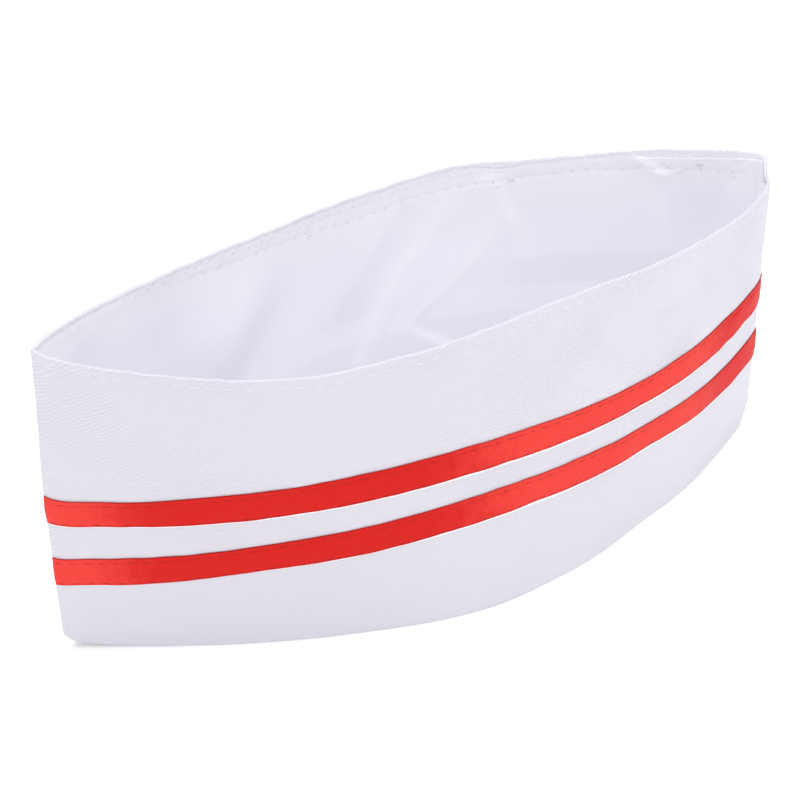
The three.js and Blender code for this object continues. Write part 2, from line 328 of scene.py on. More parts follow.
def thicken(piece, thickness):
    """Turns the sheet's faces outward from the cap and gives it its thickness."""
    only(piece)
    solid = piece.modifiers.new("thickness", "SOLIDIFY")
    solid.thickness = thickness * MM
    solid.offset = 0
    solid.use_even_offset = False
    bpy.ops.object.modifier_apply(modifier=solid.name)
    edit_all(bpy.ops.mesh.normals_make_consistent, inside=False)
    bpy.ops.object.shade_smooth()


# The side panels
HEM_PITCH, RIBBON_PITCH = 5.2, 4.4  # from one stitch to the next
PANEL_COLUMNS = 380
HEM_ROWS, FOOT_ROWS = 10.2, 2.6  # how far from the edge and from the foot the plain wall's rows begin
EDGE_CLEAR, FOOT_CLEAR = 0.12, 0.1  # how far the sheet keeps off the edge's line and the floor
RELIEF_SEED, WAVER_SEED = {"near": 5, "far": 6}, {"near": 31, "far": 37}
TWILL = 0.5  # thickness of one layer
HEM_STITCHES = 3.1  # how far below the edge its row of stitches lies
SIDE_DENTS = [  # side, x, drop, how wide, how deep down, depth
    ("near", -70, 60, 26, 30, 0.8),
    ("near", -20, 30, 22, 24, -0.6),
    ("near", 35, 70, 24, 22, 0.7),
    ("near", 80, 45, 18, 26, -0.6),
    ("far", 45, 50, 26, 26, 0.8),
    ("far", -50, 55, 24, 28, -0.7),
    ("near", -125, 48, 8, 28, -0.8),
    ("far", -125, 48, 8, 28, -0.8),
]


def side_relief(side, x, drop):
    """How far the cloth lies behind the plain wall: soft dents, and puckers at the hem's stitches."""
    depth = 0 * x
    for at, down, wide, tall, deep in of_side(SIDE_DENTS, side):
        depth = depth + deep * bump(x, at, wide) * bump(drop, down, tall)
    seed = RELIEF_SEED[side]
    depth = depth + 0.12 * mottle(x, drop, seed, 14, 60) * soft_step(drop, 6, 16)
    hem = below_edge(side, x, drop)
    pull = 0.75 + 0.25 * ripple(x, seed + 10, 3, 12)
    depth = depth + 0.1 * pull * bump(hem, HEM_STITCHES, 0.5)
    depth = depth + 0.035 * ripple(x, seed + 20, 2.4, 6) * bump(hem, HEM_STITCHES, 2.4)
    return depth


def panel_rows():
    """The sheet's rows from the hem's hidden edge, over the rim, down the outside, round the folded
    foot and up the inside. Each is its start, its place from there, its depth and its relief's share."""
    rows = [("rim", d, 1.2, 0.5) for d in (9.3, 8.2, 7, 5.8, 4.6, 3.6, 2.8, 2.1, 1.5, 1)]
    for turn in np.linspace(0, np.pi, 9):
        rows.append(("rim", 0.55 - 0.45 * math.sin(turn), 0.75 + 0.45 * math.cos(turn), 0))
    rows += [("rim", d, 0.3, 1) for d in (1, 1.5, 2, 2.4, 2.7, 2.9, 3.1, 3.3, 3.5, 3.8)]
    rows += [("rim", d, 0.3, 1) for d in (4.3, 5, 6, 7.2, 8.4, 9.6)]
    rows += [("wall", s, 0.3, 1) for s in np.linspace(0, 1, 42)[1:-1]]
    rows += [("foot", d, 0.3, 0.6) for d in (2.4, 1.6, 1.2)]
    for turn in np.linspace(0, np.pi, 9):
        rows.append(("foot", 0.9 - 0.8 * math.sin(turn), 1.1 - 0.8 * math.cos(turn), 0.3))
    rows += [("foot", d, 1.5, 0.5) for d in (2.2, 4)]
    rows += [("wall", s, 1.15, 1) for s in np.linspace(1, 0, 18)[1:]]
    return rows


def under_ribbon(side, x, drop):
    """How far below the nearest ribbon's lower edge a place lies."""
    best = np.full(np.shape(x), 99.0)
    for name, where, *drops in RIBBONS:
        if where == side:
            t = x / RIM["half"]
            below = drop - ribbon_drop(name, *drops, t) - RIBBON_WIDTH * ribbon_wide(name, t)
            best = np.minimum(best, np.where(below > -3, below, 99))
    return best


def side_panel(side):
    """One side's sheet, and its size when laid flat."""
    seed = WAVER_SEED[side]
    lines, places, drops, highlight_below_ribbons, inside = [], [], [], [], []
    for start, at, depth, share in panel_rows():
        def drop_at(t):
            length = wall_length(side, t)
            x = RIM["half"] * t
            cut = rim_cut(side, t)
            rim_waver = 0.1 * ripple(x, seed, 7, 30) * (1 - t * t) ** 0.5
            foot_waver = 0.22 * ripple(x, seed + 1, 12, 60) * (1 - t * t) ** 0.5
            if start == "rim":
                return cut + at + EDGE_CLEAR + rim_waver
            if start == "wall":
                return cut + HEM_ROWS + (length - HEM_ROWS - FOOT_ROWS - cut) * at
            return length - at - FOOT_CLEAR - np.abs(foot_waver)
        points, along, drop = level_line(
            side, drop_at, lambda x, d: depth + share * side_relief(side, x, d), SEAM_GAP, PANEL_COLUMNS)
        lines.append(points)
        places.append(along)
        drops.append(below_edge(side, points[:, 0], drop))
        # Distances for a painted highlight just under each ribbon's lower edge.
        highlight_below_ribbons.append(under_ribbon(side, points[:, 0], drop))
        # Share of painted light on the hem's inner rows, more towards the far side's right.
        shows = 0.2 + 0.8 * soft_step(points[:, 0], -30, 60) if side == "far" else 0.2
        inside.append(0 * along + (shows if depth > 0.75 and start == "rim" else 0.0))
    lines = np.array(lines)
    down = np.zeros(lines.shape[:2])
    down[1:] = np.cumsum(np.linalg.norm(np.diff(lines, axis=0), axis=2), axis=0)
    places = np.array(places)
    uv = np.stack([-SIGN[side] * places, down], -1).reshape(-1, 2) * MM
    faces = grid_faces(len(lines), PANEL_COLUMNS + 1)
    piece = lay_mesh(f"cloth_side_{side}", to_frame(lines.reshape(-1, 3)), faces, uv, {
        "drop": np.array(drops).ravel() * MM,
        "along": (places - places[:, :1]).ravel() * MM,
        "highlight_below_ribbon": np.array(highlight_below_ribbons).ravel(),
        "inside": np.array(inside).ravel(),
    })
    thicken(piece, TWILL)
    flat = (float(np.mean([p[-1] - p[0] for p in places])) * MM, float(down[-1].max()) * MM)
    return piece, flat


panels = {}
for side in ("near", "far"):
    panels[side], flat = side_panel(side)
    print("side panel", side, "flat", flat)
    stand_for(panels[side], f"side_panel_{side}")


# The ribbons
RIBBON_COLUMNS = 420
SATIN = 0.26  # thickness
RIBBON_ROWS = (0, 0.25, 0.6, 1, 1.35, 1.7, 2.05, 2.6, 3.6, 5, 6.3, 7.4, 8.2, 8.8, 9.15, 9.4, 9.7, 10)
RIBBON_STITCHES = (1.7, 9.4)  # how far below the ribbon's upper edge its two rows of stitches lie
RIBBON_ENDS = {"near": 1.1, "far": 3.0}  # twice what each end stops short of the end seam


def ribbon_depth(side, x, drop, across):
    """The satin lies on the side's cloth, pressed down along both rows of stitches."""
    lift = 0.2 + 0.16 * np.sin(np.pi * np.clip((across - 1) / 8, 0, 1)) ** 0.6
    for row in RIBBON_STITCHES:
        lift = lift - 0.06 * bump(across, row, 0.45)
    return side_relief(side, x, drop) - lift


def ribbon(name, side, left, middle, right):
    """One ribbon's sheet, laid on its side's cloth."""
    seed = sum(map(ord, name)) % 97
    lines, froms, acrosses = [], [], []
    for across in RIBBON_ROWS:
        def drop_at(t):
            x = RIM["half"] * t
            edge = 0.07 * ripple(x, seed + (0 if across < 5 else 1), 9, 50)
            return ribbon_drop(name, left, middle, right, t) + across * ribbon_wide(name, t) + edge
        points, along, drop = level_line(
            side, drop_at,
            lambda x, d: ribbon_depth(side, x, d, across) - 0.05 * mottle(x, 3 * d, seed, 6, 20),
            RIBBON_ENDS[side], RIBBON_COLUMNS)
        lines.append(points)
        froms.append(along - along[0])
        acrosses.append(0 * along + across)
    uv = np.stack([np.array(froms), np.array(acrosses)], -1).reshape(-1, 2) * MM
    points = to_frame(np.array(lines).reshape(-1, 3))
    piece = lay_mesh("satin_" + name, points, grid_faces(len(lines), RIBBON_COLUMNS + 1), uv)
    thicken(piece, SATIN)
    stand_for(piece, name)
    return piece


ribbons = {name: ribbon(name, side, *drops) for name, side, *drops in RIBBONS}


# The crown
CROWN_COLUMNS = 270  # on each side
LAWN = 0.35  # thickness
CROWN_DEPTH = 1.66  # from the side's outer face to the middle of the thin cloth, where it is sewn on
CROWN_HEM = 10.4  # how far down the fine rows of its sewn edge go
CROWN_FOOT = 7  # how far above the side's foot the bag's wall ends
SHOWN_HIGHER = 3.6  # how much higher the ribbons show through than they lie
CROWN_EDGE = [  # x, how far the thin cloth's edge lies below the far side's edge
    (-126, 0.8), (-55, 0.6), (-20, 0.9), (20, 1), (42, 0.9), (46, 1.3), (50, 1.9), (55.5, 2.5),
    (58.5, 2.1), (62, 1.2), (90, 0.8), (94.5, 0.8), (96.5, 1.8), (99, 2.7), (104, 3.1), (113, 3.1),
    (118, 2.8), (122, 2.4), (126, 2.1),
]
SEAM_ROWS = [  # side, (x, distance below the edge) points of each row of stitches through the thin cloth
    ("far", [(-122, 1.4), (-100, 1.3), (-80, 1.2), (-60, 0.9), (-28, 1)]),
    ("far", [(-86, 2.6), (-71, 2.5), (-54, 2.3), (-43, 2.6), (-33, 2.9), (0, 3.1), (20, 3.2), (38, 2.9)]),
    ("far", [(-62, 4.7), (-50, 5.2), (-40, 5.6), (-12, 6), (-3, 7.6), (12, 7.3), (23, 6.7), (34, 7.1),
             (44, 7.2), (53, 7), (63, 5.7), (80, 5.5), (100, 6.6), (113, 6.9), (124, 7.2)]),
    ("near", [(-122, 2.8), (0, 3.1), (122, 2.6)]),
    ("near", [(-118, 6.2), (0, 6.8), (118, 6)]),
]
FOLD_TOP = [(52.4, 6.5), (54.3, 10.8), (56.6, 15.8)]  # (x, drop) along the photo's main folds
FOLD_LOW = [(58.4, 20), (59.9, 24.8), (62.9, 31)]
FOLD_LONG = [(36.1, 10.8), (31.2, 17.5), (26.7, 24), (19.1, 29), (15.1, 34.8), (11, 40.5), (6.7, 47.2),
             (2.5, 53.5), (-3, 63)]
FOLD_SHORT = [(29.8, 31.8), (23.1, 36), (17.4, 39), (13.8, 43), (10.5, 47.2), (6, 56)]
FOLD_STEP = [(-27.8, 11.5), (-30.1, 17.5), (-32.5, 23.8), (-36.7, 29), (-41.1, 34.5), (-45.3, 38.8),
             (-49.6, 42.5)]
LOOSE_EDGE = [(52.4, 2), *FOLD_TOP, (57.4, 19), (54.3, 22.5), (51.6, 25.5), (46.6, 31.8),
              (38, 38.8), (27.3, 45.2), (21.6, 49.5), (12, 56), (0, 70), (-10, 110)]
LOOSE_FOOT = [(-40, 49.5), (21.6, 49.5), (25.1, 52.5), (28.6, 54.8), (32.5, 57.5), (60, 72), (126, 100)]
CROWN_FOLDS = [  # side, rise, width to its left and right, where along it fades out, its crest
    ("far", 0.55, 5, 2.4, 0.6, [(51, 1.5), *FOLD_TOP, *FOLD_LOW]),
    ("far", 0.35, 3.4, 3, 0.8, [(37, 8), *FOLD_LONG]),
    ("far", 0.22, 2.2, 2.2, 0.7, FOLD_SHORT),
    ("far", 0.15, 1.8, 1.8, 0.7, [(24, 34.5), (18, 37), (12.5, 41.5), (8, 47), (3, 55)]),
    ("far", 0.3, 4, 4, 0.7, [(-13, 30), (-18, 38), (-24, 47), (-32, 60)]),
    ("far", 0.3, 5, 4, 0.7, [(12, 13), (5, 22), (-2, 30)]),
    ("far", 0.55, 1.8, 1.4, 0.9, [(94.8, -0.6), (96.8, 2), (98.5, 4), (100.4, 6.2), (102.8, 7.8), (106, 9)]),
    ("far", 0.13, 3, 2, 0.6, [(100.6, 8), (100.9, 13.2), (102.1, 25.2), (103, 34)]),
    ("near", 1.2, 9, 9, 0.8, [(-30, 12), (-24, 36), (-12, 70)]),
    ("near", 1, 7, 9, 0.8, [(46, 12), (38, 40), (30, 70)]),
    ("near", 0.8, 7, 7, 0.8, [(-82, 14), (-72, 44), (-60, 74)]),
]
CROWN_STEP = [(-25.5, 2), *FOLD_STEP, (-60, 54), (-72, 70)]
CROWN_DENTS = [  # x, drop, how wide, how far off the side
    (-1.5, 39, 8, -0.3), (-75, 22, 16, -0.35), (78, 18, 20, 0.25), (-92, 16, 12, 0.3),
]
# Painted highlight (above 0, lighter) and painted shade (below 0, darker) along the far side's folds.
CROWN_SHADE = [  # how much lighter, width to its left and right, its middle
    (0.62, 3.6, 2.2, [(50.5, 1), *FOLD_TOP]),
    (0.6, 3, 1.5, [FOLD_TOP[-1], *FOLD_LOW]),
    (0.75, 5, 2, [(57, 19.5), (54.3, 22), (51.2, 25.5), (46.2, 31.8), (37.5, 38.8), (27, 45.2),
                  (21.6, 49)]),
    (0.9, 1.3, 1.3, [(21.6, 49.6), (25.1, 52.5), (28.6, 54.8), (32.5, 57.5), (44, 64)]),
    (0.6, 3, 2.4, [(38, 6), *FOLD_LONG]),
    (0.42, 1.6, 1.4, FOLD_SHORT),
    (0.4, 1.2, 1.2, [(26, 38), (20.5, 41), (16, 46), (12, 53)]),
    (-0.32, 7, 5.5, [(6, 36), (-1, 39), (-8, 37.5)]),
    (-0.55, 7.5, 6, [*FOLD_STEP, (-58, 50)]),
    (-0.35, 3, 5, [(24, 8), (19.5, 12.2), (14.5, 18), (9.5, 23.2), (3, 30.5), (-3, 36), (-9, 38.2)]),
    (0.35, 12, 9, [(-14, 36), (-22, 46), (-30, 57)]),
    (0.6, 1.3, 1.1, [(95.2, 0), (96.8, 2), (98.5, 4), (100.4, 6.2), (102.8, 7.8), (105, 8.7)]),
    (0.45, 2.6, 2, [(100.4, 8), (100.9, 13.2), (102.1, 25.2), (103, 32)]),
    (0.35, 1.2, 1.2, [(96.5, 3), (104, 3.4), (110, 3.4), (114, 3), (118, 2.4), (121, 1.4), (124, 0.2)]),
    (0.5, 2, 2, [(123.5, -1), (123, 4), (122, 9), (120, 14)]),
    (-0.95, 16, 18, [(-76, 10), (-74, 30), (-78, 44)]),
    (-0.38, 12, 12, [(113, 10), (115, 20), (113, 32)]),
    (-0.8, 13, 13, [(-108, 6), (-102, 26)]),
    (0.12, 16, 16, [(84, 8), (82, 30)]),
]
CROWN_FLOOR = [  # how far in from the wall's foot, how much higher or lower than that
    (0.04, -1.6), (0.1, -3), (0.2, -3.6), (0.32, -3.6), (0.45, -3.3), (0.58, -3.3),
    (0.7, -3.2), (0.82, -3), (0.92, -2.8), (1, -2.6),
]


def from_line(x, drop, points):
    """The distance to a line of points, 1 on its right side or -1 on its left, and how far along it."""
    best = np.full(np.shape(x), 1e9)
    side, along = np.zeros(np.shape(x)), np.zeros(np.shape(x))
    run = np.concatenate([[0], np.cumsum([math.dist(a, b) for a, b in zip(points, points[1:])])])
    for i, ((x1, d1), (x2, d2)) in enumerate(zip(points, points[1:])):
        ax, ad = x2 - x1, d2 - d1
        share = np.clip(((x - x1) * ax + (drop - d1) * ad) / (ax * ax + ad * ad), 0, 1)
        away = np.hypot(x - x1 - share * ax, drop - d1 - share * ad)
        turn = np.sign(ad * (x - x1) - ax * (drop - d1))
        nearer = away < best
        best = np.where(nearer, away, best)
        side = np.where(nearer, turn, side)
        along = np.where(nearer, (run[i] + share * (run[i + 1] - run[i])) / run[-1], along)
    return best, side, along


def loose_cloth(x, drop):
    """The far side's cloth hangs free up to a fold on the right, and flat on the side beyond it."""
    away, _, _ = from_line(x, drop, LOOSE_EDGE)
    left = np.where(x < from_rows(drop, [(down, at) for at, down in LOOSE_EDGE]), away, -away)
    away, _, _ = from_line(x, drop, LOOSE_FOOT)
    low = np.where(drop > from_rows(x, LOOSE_FOOT), away, -away)
    hang = 0.010 * np.maximum(drop - 5, 0) * soft_step(x, -118, -40)
    roll = 0.26 * soft_step(drop, 12, 26) * np.exp(-(np.maximum(left, 0) / 9.0) ** 1.5)
    fold = soft_step(left, -1.4, 1.0) * (hang + roll)
    tuck = soft_step(low, -1.4, 0.6) * (hang + 0.4 * np.exp(-(np.maximum(low, 0) / 4.0) ** 1.5))
    return np.maximum(fold, tuck * soft_step(x, 6, 14))


def crown_lift(side, x, drop):
    """How far the crown's cloth hangs off the side's wall."""
    if side == "far":
        lift = loose_cloth(x, drop)
        away, turn, _ = from_line(x, drop, CROWN_STEP)
        left = -turn * away
        lift = lift + 2.3 * soft_step(left, -9, 7) * (1 - soft_step(left, 12, 56)) * soft_step(drop, 4, 30)
        for at, down, wide, rise in CROWN_DENTS:
            lift = lift + rise * np.exp(-((x - at) ** 2 + (drop - down) ** 2) / wide ** 2)
    else:
        lift = 1.6 * soft_step(drop, 10, 60)
    for rise, left, right, fade, points in of_side(CROWN_FOLDS, side):
        away, turn, along = from_line(x, drop, points)
        width = np.where(turn > 0, right, left)
        shape = np.exp(-(np.sqrt((away / width) ** 2 + 0.01) - 0.1) ** 1.3)
        lift = lift + rise * shape * soft_step(along, 0.0, 0.14) * (1 - soft_step(along, fade, 1.0))
    lift = lift + 0.07 * mottle(x, drop, 71 if side == "far" else 73, 14, 50) * soft_step(drop, 6, 20)
    return np.maximum(lift, -0.2) * soft_step(drop, 0.5, 4)


def crown_shade(side, x, drop):
    """Painted highlight and painted shade on the thin cloth: lighter where doubled or turned to the light,
    darker where its folds lie in shade.
    """
    shade = 0 * x
    if side == "far":
        for amount, left, right, points in CROWN_SHADE:
            away, turn, along = from_line(x, drop, points)
            width = np.where(turn > 0, right, left)
            ends = 0.55 + 0.45 * soft_step(along, 0.0, 0.2) * (1 - soft_step(along, 0.75, 1.0))
            shade = shade + amount * ends * np.exp(-(away / width) ** 2)
    return shade


def sewn_depth(side, x, drop):
    """How deep the thin cloth lies where nothing lifts it."""
    return CROWN_DEPTH + 0.3 * soft_step(below_edge(side, x, drop), 3, 12) + side_relief(side, x, drop)


def crown_line(side, start, at):
    """One side's half of a line round the bag."""
    def drop_at(t):
        cut = rim_cut(side, t)
        x = RIM["half"] * t
        edge = from_rows(x, CROWN_EDGE) if side == "far" else 1.6 + 0 * x
        edge = edge + 0.12 * ripple(x, 53, 3, 16)
        if start == "rim":
            return cut + edge + (CROWN_HEM - edge) * at
        return cut + CROWN_HEM + (wall_length(side, t) - CROWN_HEM - CROWN_FOOT - cut) * at

    def depth_at(x, drop):
        hem = below_edge(side, x, drop)
        gather = 0.07 * ripple(x + 0.6 * drop, 57, 2.4, 7) * bump(hem, 3.4, 2.6)
        gather = gather + 0.05 * ripple(x, 59, 3, 9) * bump(hem, 8, 4)
        press = 0.12 * bump(nearest_seam(side, x, hem)[0], 0, 0.6)
        return sewn_depth(side, x, drop) + crown_lift(side, x, drop) + gather - press

    return level_line(side, drop_at, depth_at, 0.0, CROWN_COLUMNS)


def nearest_seam(side, x, hem):
    """How far above or below the nearest row of stitches a place lies, and that row's number."""
    best, which = np.full(np.shape(x), 9.0), np.zeros(np.shape(x))
    for number, (where, points) in enumerate(SEAM_ROWS):
        if where == side:
            row = from_rows(x, points)
            beyond = np.maximum(points[0][0] - x, 0) + np.maximum(x - points[-1][0], 0)
            away = hem - row + np.sign(hem - row + 1e-9) * beyond
            which = np.where(np.abs(away) < np.abs(best), number, which)
            best = np.where(np.abs(away) < np.abs(best), away, best)
    return best, which


def show_through(side, line):
    """Where the red ribbons behind show faintly through the thin cloth that lies on the side."""
    points, _, drop = line
    x = points[:, 0]
    close = np.exp(-(np.maximum(crown_lift(side, x, drop), 0) / 1.5) ** 2)
    pink = 0 * x
    for name, where, *drops in RIBBONS:
        if where == side:
            below = drop + SHOWN_HIGHER - ribbon_drop(name, *drops, x / RIM["half"])
            blur = 1.2 + 5 * (1 - close)
            past = soft_step(below, RIBBON_WIDTH - blur, RIBBON_WIDTH + blur)
            pink = pink + soft_step(below, -blur, blur) * (1 - past)
    if side == "far":
        close = close * np.where(drop < 45, soft_step(x, 48, 64), 1)
    return pink * (0.2 + 0.8 * close)


def joined(near, far):
    """Values of the near side, then the far side's backwards without its two ends."""
    return np.concatenate([near, far[-2:0:-1]])


def wall_level(start, at):
    """A line round the bag's wall, its place in the cloth and its values."""
    near, far = crown_line("near", start, at), crown_line("far", start, at)
    left = max(near[0][0], far[0][0], key=lambda p: p[0])
    right = max(near[0][-1], far[0][-1], key=lambda p: p[2])
    sides = []
    for side, line in (("near", near), ("far", far)):
        points, along, drop = line
        points[0], points[-1] = left, right
        x = points[:, 0]
        hem = below_edge(side, x, drop)
        away, row = nearest_seam(side, x, hem)
        sides.append({
            "pink": show_through(side, line),
            "hem": hem,
            "seam": away,
            "stitch": along / HEM_PITCH + 0.41 * row,
            "shade": crown_shade(side, x, drop),
        })
    points = joined(near[0], far[0])
    u = joined(near[1], near[1][-1] + far[1][-1] - far[1])
    values = {key: joined(sides[0][key], sides[1][key]) for key in sides[0]}
    # The edge value sets a painted shadow along the thin cloth's sewn edge; towards the far side's right end
    # it is raised, so the edge there reads lit.
    lit_edge = 0.42 * soft_step(points[:, 0], 93, 98) * (points[:, 1] > 0)
    values["edge"] = (9.0 * at if start == "rim" else 9.0) + lit_edge
    return points, np.stack([u, joined(near[2], far[2])], -1), values


def floor_level(base, middle, base_uv, inward, rise):
    """A line of the bag's floor, from its wall's foot towards its middle line."""
    points = base + (middle - base) * inward
    crease = np.abs(mottle(points[:, 0], 2 * points[:, 1], 89, 30, 70))
    folds = 0.5 * mottle(points[:, 0], points[:, 1], 83, 12, 40) + 0.6 * crease
    points[:, 2] += rise + folds * math.sin(math.pi * inward / 2)
    reach = np.linalg.norm((points - base)[:, :2], axis=1)
    # The floor's shade value paints shade along its creases.
    values = {
        "pink": 0 * reach,
        "hem": 100 + 0 * reach,
        "seam": 9 + 0 * reach,
        "stitch": 0 * reach,
        "shade": -2.2 * np.exp(-(crease / 0.16) ** 2) - 0.5 * soft_step(crease, 1.0, 0.2),
        "edge": 9 + 0 * reach,
    }
    return points, base_uv + np.stack([0 * reach, reach], -1), values


def crown_bag():
    """The bag's sheet, from its sewn edge down the wall and over the floor."""
    levels = [wall_level("rim", at) for at in np.linspace(0, 1, 18)]
    levels += [wall_level("wall", at) for at in np.linspace(0, 1, 55)[1:]]
    base, base_uv, _ = levels[-1]
    n = CROWN_COLUMNS
    mirror = np.concatenate([np.arange(n + 1), np.arange(n - 1, 0, -1)])
    partner = np.concatenate([[0], np.arange(2 * n - 1, n, -1), [n]])
    middle = (base[:n + 1] + base[partner]) / 2
    middle[:, 0] *= 0.9
    levels += [floor_level(base, middle[mirror], base_uv, *place) for place in CROWN_FLOOR]
    points, uv = (np.concatenate([level[i] for level in levels]) for i in (0, 1))
    values = {key: np.concatenate([level[2][key] for level in levels]) for key in levels[0][2]}
    faces = grid_faces(len(levels), 2 * n, closed=True)
    piece = lay_mesh("cloth_crown", to_frame(points), faces, uv * MM, values)
    only(piece)
    edit_all(bpy.ops.mesh.remove_doubles, threshold=1e-6)
    return piece


crown = crown_bag()
thicken(crown, LAWN)
stand_for(crown, "crown")


# Materials
def group(name, inputs, outputs):
    """An empty node group with its named inputs and outputs, and its two end nodes."""
    tree = bpy.data.node_groups.new(name, "ShaderNodeTree")
    for key, kind, value in inputs:
        socket = tree.interface.new_socket(key, in_out="INPUT", socket_type=kind)
        if value is not None:
            socket.default_value = value
    for key, kind in outputs:
        tree.interface.new_socket(key, in_out="OUTPUT", socket_type=kind)
    return tree, tree.nodes.new("NodeGroupInput"), tree.nodes.new("NodeGroupOutput")


class Wires:
    """Short ways to add nodes to a tree."""

    def __init__(self, tree):
        self.tree = tree

    def put(self, socket, value):
        if isinstance(value, bpy.types.NodeSocket):
            self.tree.links.new(value, socket)
        else:
            socket.default_value = value

    def filled(self, node, values):
        for key, value in values.items():
            self.put(node.inputs[key], value)
        return node

    def maths(self, how, *values, clamp=False):
        node = self.tree.nodes.new("ShaderNodeMath")
        node.operation, node.use_clamp = how, clamp
        for socket, value in zip(node.inputs, values):
            self.put(socket, value)
        return node.outputs[0]

    def times(self, a, b, clamp=False):
        return self.maths("MULTIPLY", a, b, clamp=clamp)

    def plus(self, a, b):
        return self.maths("ADD", a, b)

    def minus(self, a, b, clamp=False):
        return self.maths("SUBTRACT", a, b, clamp=clamp)

    def mapped(self, value, low, high, to_low=0.0, to_high=1.0):
        node = self.tree.nodes.new("ShaderNodeMapRange")
        node.interpolation_type = "SMOOTHSTEP"
        ends = {"Value": value, "From Min": low, "From Max": high, "To Min": to_low, "To Max": to_high}
        return self.filled(node, ends).outputs["Result"]

    def noise(self, vector, scale, detail=2.0, rough=0.5):
        node = self.tree.nodes.new("ShaderNodeTexNoise")
        given = {"Vector": vector, "Scale": scale, "Detail": detail, "Roughness": rough}
        return self.filled(node, given).outputs["Fac"]

    def blend(self, share, first, second):
        """Mixes two colours, which are inputs 6 and 7 of the Mix node."""
        node = self.tree.nodes.new("ShaderNodeMix")
        node.data_type = "RGBA"
        return self.filled(node, {0: share, 6: first, 7: second}).outputs[2]

    def split(self, vector):
        node = self.tree.nodes.new("ShaderNodeSeparateXYZ")
        self.put(node.inputs[0], vector)
        return node.outputs

    def stretched(self, vector, scale, turn=0.0):
        node = self.tree.nodes.new("ShaderNodeMapping")
        self.put(node.inputs["Vector"], vector)
        node.inputs["Scale"].default_value = scale
        node.inputs["Rotation"].default_value = (0, 0, turn)
        return node.outputs[0]


def plain_material(name, color, rough=0.8):
    material = bpy.data.materials.new(name)
    material.use_nodes = True
    shader = material.node_tree.nodes["Principled BSDF"]
    shader.inputs["Base Color"].default_value = (*color, 1)
    shader.inputs["Roughness"].default_value = rough
    return material, shader, Wires(material.node_tree)


def named(wires, name):
    """A value that the mesh keeps for each point."""
    node = wires.tree.nodes.new("ShaderNodeAttribute")
    node.attribute_name = name
    return node.outputs["Fac"]


def in_millimetres(wires):
    """The place in the cloth, which the mesh keeps in metres."""
    node = wires.tree.nodes.new("ShaderNodeUVMap")
    node.uv_map = "cloth"
    return wires.stretched(node.outputs[0], (1000, 1000, 1000))


def twill_weave():
    """Slanting ribs of short floats. Cloth is the place in the cloth in millimetres."""
    tree, given, result = group(
        "twill_weave", [("Cloth", "NodeSocketVector", None), ("Pitch", "NodeSocketFloat", 1.15)],
        [("Height", "NodeSocketFloat"), ("Groove", "NodeSocketFloat")])
    w = Wires(tree)
    slant = math.radians(29)
    x, y = w.split(given.outputs["Cloth"])[:2]
    across = w.plus(w.times(x, math.sin(slant)), w.times(y, math.cos(slant)))
    ahead = w.minus(w.times(x, math.cos(slant)), w.times(y, math.sin(slant)))
    sway = w.noise(given.outputs["Cloth"], 0.16, 2)
    rib = w.plus(w.maths("DIVIDE", across, given.outputs["Pitch"]), w.times(sway, 2.2))
    wave = w.maths("SINE", w.times(rib, 2 * math.pi))
    round_rib = w.mapped(wave, -1.0, 0.75)
    step = w.times(w.maths("FLOOR", w.plus(rib, 0.25)), 0.37)
    floats = w.maths("SINE", w.times(w.plus(w.maths("DIVIDE", ahead, 0.9), step), 2 * math.pi))
    yarn = w.mapped(floats, -1.0, 0.2, 0.72, 1.0)
    height = w.times(round_rib, yarn)
    w.put(result.inputs["Height"], height)
    w.put(result.inputs["Groove"], w.minus(1.0, height, clamp=True))
    return tree


def plain_weave():
    """Fine threads both ways, some of them thicker."""
    tree, given, result = group(
        "plain_weave", [("Cloth", "NodeSocketVector", None)],
        [("Height", "NodeSocketFloat"), ("Slub", "NodeSocketFloat")])
    w = Wires(tree)
    along = w.noise(w.stretched(given.outputs["Cloth"], (0.12, 2.6, 1)), 1.0, 3, 0.6)
    down = w.noise(w.stretched(given.outputs["Cloth"], (2.8, 0.15, 1)), 1.0, 3, 0.6)
    both = w.plus(w.times(along, 0.6), w.times(down, 0.4))
    w.put(result.inputs["Height"], both)
    w.put(result.inputs["Slub"], w.mapped(along, 0.35, 0.7))
    return tree


def seam_pull():
    """Dark pits, painted shade where a row of stitches pulls its thread into the cloth, and the row's line.
    Turn counts the stitches.
    """
    tree, given, result = group(
        "seam_pull",
        [("Turn", "NodeSocketFloat", 0.0), ("Across", "NodeSocketFloat", 0.0),
         ("Reach", "NodeSocketFloat", 0.5), ("Hole", "NodeSocketFloat", 0.1)],
        [("Pit", "NodeSocketFloat"), ("Line", "NodeSocketFloat")])
    w = Wires(tree)
    place = w.maths("ABSOLUTE", w.minus(w.maths("FRACT", given.outputs["Turn"]), 0.5))
    near_end = w.mapped(place, w.minus(0.5, given.outputs["Hole"]), 0.5)
    line = w.mapped(w.maths("ABSOLUTE", given.outputs["Across"]), given.outputs["Reach"], 0.0)
    w.put(result.inputs["Line"], line)
    w.put(result.inputs["Pit"], w.times(line, near_end))
    return tree


def use(wires, tree, **values):
    """Places a node group in a material and gives it its own values."""
    node = wires.tree.nodes.new("ShaderNodeGroup")
    node.node_tree = tree
    return wires.filled(node, values).outputs


def raised(wires, height, strength, distance, onto=None):
    """The normal of a bumpy surface. The distance is in millimetres, and below 0 it presses in."""
    node = wires.tree.nodes.new("ShaderNodeBump")
    node.inputs["Strength"].default_value = strength
    node.inputs["Distance"].default_value = distance * MM
    wires.put(node.inputs["Height"], height)
    if onto is not None:
        wires.put(node.inputs["Normal"], onto)
    return node.outputs["Normal"]


TWILL_WEAVE, PLAIN_WEAVE, SEAM_PULL = twill_weave(), plain_weave(), seam_pull()


def tint(r, g, b):
    return (r, g, b, 1)


